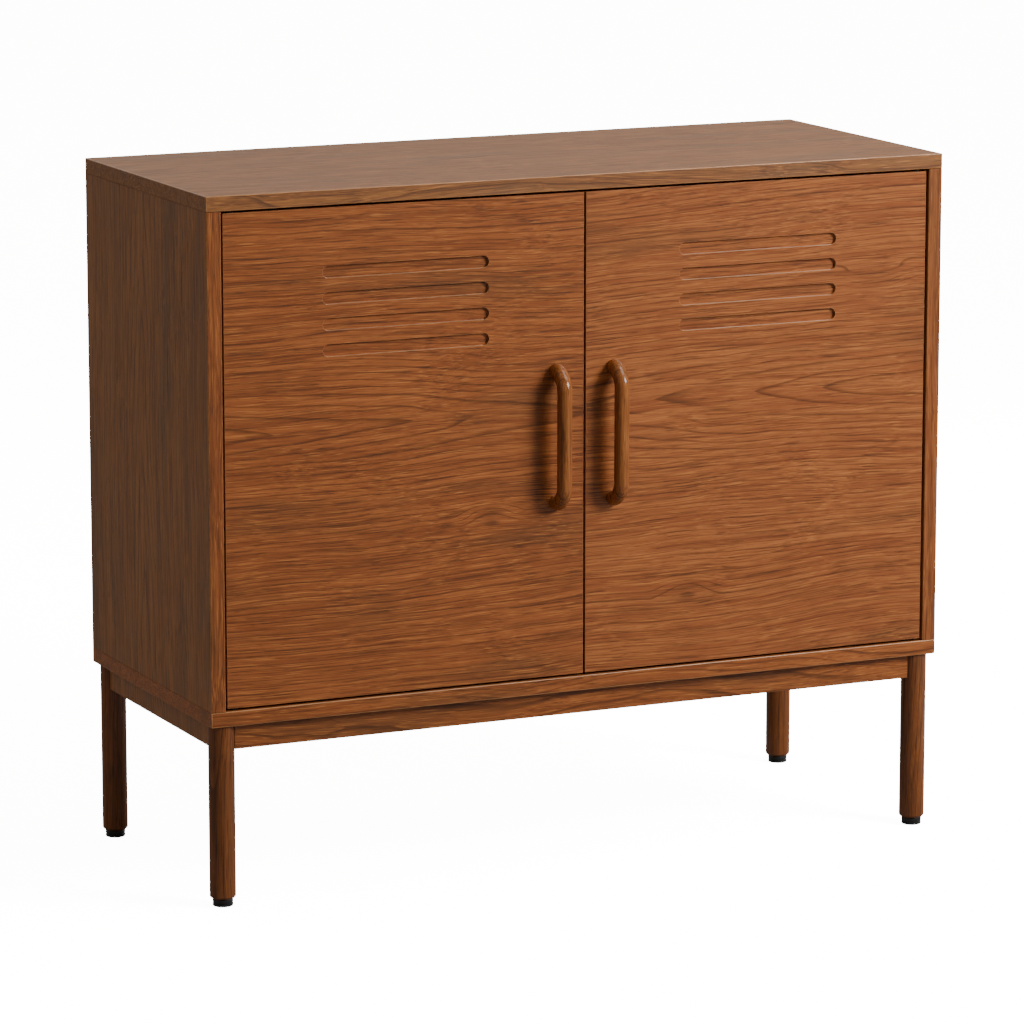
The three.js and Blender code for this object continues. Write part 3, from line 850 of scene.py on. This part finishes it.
def shelf_pin(node, side):
    """Plated pin with a thin collar, pushed into the side panel."""
    low, high = (Vector(c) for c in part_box(node))
    spot = (low + high) / 2
    sign = SIDES[side]
    start = high.x if sign > 0 else low.x
    length = high.x - low.x
    collar = (high.y - low.y) / 2
    pin = PIN_RADIUS
    seat = length / 2 + CLEAR
    profile = [(pin - 0.3 * MM, 0), (pin, 0.3 * MM), (pin, seat), (collar - 0.2 * MM, seat),
               (collar, seat + 0.2 * MM), (collar, seat + 0.6 * MM), (collar - 0.2 * MM, seat + 0.8 * MM),
               (pin, seat + 0.8 * MM), (pin, length - 0.6 * MM), (pin - 0.5 * MM, length)]
    piece = lay(turned(f"{node}_plated", ORIGIN, profile, SMALL_ROUND), (start, spot.y, spot.z),
                (0, -sign * QUARTER, 0))
    finished(piece, "carcass", "steel", STEEL, node)


def pivot_pin(node, level):
    """Bronzed pin with a collar that carries the door."""
    low, high = (Vector(c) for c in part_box(node))
    spot = (low + high) / 2
    length = high.z - low.z
    collar = (high.x - low.x) / 2
    pin = PIN_RADIUS
    seat = PIVOT_SEAT
    profile = [(pin - 0.3 * MM, 0), (pin, 0.3 * MM), (pin, seat), (collar - 0.2 * MM, seat),
               (collar, seat + 0.2 * MM), (collar, seat + 0.7 * MM), (collar - 0.2 * MM, seat + 0.9 * MM),
               (pin, seat + 0.9 * MM), (pin, length - 0.5 * MM), (pin - 0.5 * MM, length)]
    upside_down = level == "top"
    piece = lay(turned(f"{node}_turned", ORIGIN, profile, SMALL_ROUND),
                (spot.x, spot.y, high.z if upside_down else low.z),
                (HALF_TURN if upside_down else 0, 0, 0))
    finished(piece, "carcass", "steel", BRONZED, node)


def pivot_bush(node, side, level):
    """Flanged bush pushed into the end of the door."""
    low, high = (Vector(c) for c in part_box(node))
    spot = (low + high) / 2
    length = high.z - low.z
    flange = (high.x - low.x) / 2
    barrel = flange - 0.7 * MM
    seat = length - 0.8 * MM
    profile = [(barrel, 0), (barrel, seat), (flange - 0.15 * MM, seat), (flange, seat + 0.15 * MM),
               (flange, length - 0.2 * MM), (flange - 0.2 * MM, length)]
    bush = turned(f"{node}_moulded", ORIGIN, profile, SMALL_ROUND)
    cut(bush, [upright_bar("bore", ORIGIN, -MM, length + MM, BUSH_BORE)])
    upside_down = level == "bottom"
    lay(bush, (spot.x, spot.y, high.z if upside_down else low.z),
        (HALF_TURN if upside_down else 0, 0, 0))
    finished(bush, f"{side}_door", "black_plastic", BLACK_PLASTIC, node)


def handle_screw(node, side):
    """Pan-head machine screw, its head sunk in the back of the door."""
    low, high = (Vector(c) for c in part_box(node))
    spot = (low + high) / 2
    length = high.y - low.y
    head = (high.x - low.x) / 2
    shank = HANDLE_SHANK
    seat = length - 2.4 * MM
    profile = [(shank - 0.5 * MM, 0), (shank, 0.6 * MM), (shank, seat), (head, seat),
               (head, seat + 1.2 * MM), (head - 0.3 * MM, seat + 1.8 * MM),
               (head - 1.0 * MM, seat + 2.25 * MM), (head - 1.8 * MM, length)]
    screw = turned(f"{node}_plated", ORIGIN, profile, SMALL_ROUND)
    cut(screw, cross_recess("cross", 4.4 * MM, length, 1.3 * MM))
    lay(screw, (spot.x, low.y, spot.z), (-QUARTER, 0, 0))
    finished(screw, f"{side}_door", "steel", STEEL, node)


def threaded_stud(node, corner):
    """Levelling stud with a rolled thread, drawn as separate rings."""
    low, high = (Vector(c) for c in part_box(node))
    spot = Vector(((low.x + high.x) / 2, (low.y + high.y) / 2, 0))
    crest, root, pitch = THREAD_CREST, THREAD_ROOT, THREAD_PITCH
    turns = int((high.z - low.z) / pitch) - 1
    profile = [(root, low.z)]
    for index in range(turns):
        start = low.z + (index + 0.5) * pitch
        profile += [(crest, start), (crest, start + 0.15 * pitch), (root, start + 0.5 * pitch),
                    (root, start + 0.65 * pitch)]
    profile.append((root, high.z))
    stud = turned(f"{node}_threaded", spot, profile, SMALL_ROUND)
    finished(stud, f"foot_{corner}", "steel", STEEL, node, angle=20)


def magnetic_catch(side):
    """Brown housing under the top panel with two pole plates towards the door and two screws below."""
    node = f"magnetic_catch_{side}"
    low, high = (Vector(c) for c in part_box(node))
    housing = block(f"{node}_moulded", (low.x, low.y + CATCH_NOSE, low.z), high)
    middle = (low + high) / 2
    poles, screws, pockets = [], [], []
    for sign in (-1, 1):
        level = middle.z + sign * POLE_OFFSET
        poles.append(block("pole", (low.x + POLE_MARGIN, low.y, level - POLE_HALF_THICKNESS),
                           (high.x - POLE_MARGIN, low.y + POLE_LENGTH, level + POLE_HALF_THICKNESS)))
        spot = (middle.x + sign * CATCH_SCREW_SPREAD, middle.y + CATCH_SCREW_SETBACK)
        head = [(2.6 * MM, 0), (2.9 * MM, 0.3 * MM), (2.9 * MM, 1.1 * MM), (2.2 * MM, 1.5 * MM)]
        screw = turned("fixing", ORIGIN, head, SMALL_ROUND)
        cut(screw, cross_recess("cross", 3.4 * MM, 1.5 * MM, 0.9 * MM))
        screws.append(lay(screw, (*spot, low.z + CATCH_SCREW_SINK), (HALF_TURN, 0, 0)))
        pockets.append(upright_bar("pocket", spot, low.z - PAST, low.z + CATCH_POCKET_DEPTH,
                                   CATCH_POCKET_RADIUS))
    ease_edges(housing, CATCH_EASING)
    cut(housing, pockets)
    finished(housing, "carcass", "brown_plastic", BROWN_PLASTIC, node)
    plates = join(poles)
    plates.name = f"{node}_pole_plates"
    finished(plates, "carcass", "steel", STEEL)
    fixings = join(screws)
    fixings.name = f"{node}_screws"
    finished(fixings, "carcass", "steel", STEEL)


def strike_plate(side):
    """Thin plate on the back of the door, with one countersunk screw at each end."""
    node = f"strike_plate_{side}"
    low, high = (Vector(c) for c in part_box(node))
    plate = block(f"{node}_pressed", low, high)
    ease_edges(plate, STRIKE_EASING)
    middle = (low + high) / 2
    heads = []
    for sign in (-1, 1):
        sunk = (middle.x + sign * STRIKE_SCREW_SPREAD, high.y - STRIKE_SINK, middle.z)
        clear = (sunk[0], high.y + MM, sunk[2])
        cut(plate, [bar("countersink", sunk, clear, COUNTERSINK_RADIUS)])
        head = [(2.4 * MM, 0), (2.4 * MM, 0.3 * MM), (1.9 * MM, 0.45 * MM)]
        screw = turned("fixing", ORIGIN, head, SMALL_ROUND)
        cut(screw, cross_recess("cross", 3.0 * MM, 0.45 * MM, 0.3 * MM))
        heads.append(lay(screw, sunk, (-QUARTER, 0, 0)))
    finished(plate, f"{side}_door", "steel", STEEL, node)
    fixings = join(heads)
    fixings.name = f"{node}_screws"
    finished(fixings, f"{side}_door", "steel", STEEL)


def keep_bolt(corner):
    """The leg bolt is hidden in the leg and the panel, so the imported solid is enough."""
    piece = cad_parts[f"leg_bolt_{corner}"]
    piece.data.materials.clear()
    piece.data.materials.append(STEEL)


def hardware():
    for side in SIDES:
        for shelf in ("upper", "lower"):
            for end in ENDS:
                shelf_pin(f"{shelf}_shelf_pin_{end}_{side}", side)
        for level in ("top", "bottom"):
            pivot_pin(f"{level}_pivot_pin_{side}", level)
            pivot_bush(f"{level}_pivot_bush_{side}", side, level)
        for level in ("upper", "lower"):
            handle_screw(f"{side}_handle_screw_{level}", side)
        magnetic_catch(side)
        strike_plate(side)
    for corner in CORNERS:
        threaded_stud(f"foot_stud_{corner}", corner)
        keep_bolt(corner)


# ---------------------------------------------------------------- assembly

cross_panel("top", TOP_VENEER)
cross_panel("bottom", BOTTOM_VENEER)
plain_board("back_panel", "back_board", BACK_BOARD, BACK_EASING)
plain_board("upper_shelf", "walnut_along", SHELF_VENEER)
plain_board("lower_shelf", "walnut_along", SHELF_VENEER)
for end in ENDS:
    apron(f"{end}_apron", "walnut_along", BOTTOM_VENEER)
for side in SIDES:
    side_panel(side)
    apron(f"{side}_apron", "walnut_side", SIDE_VENEER[side])
    door(side)
    handle(side)
for corner in CORNERS:
    leg(corner)
    foot_pad(corner)
hardware()

studio()
paper_floor()
set_camera()
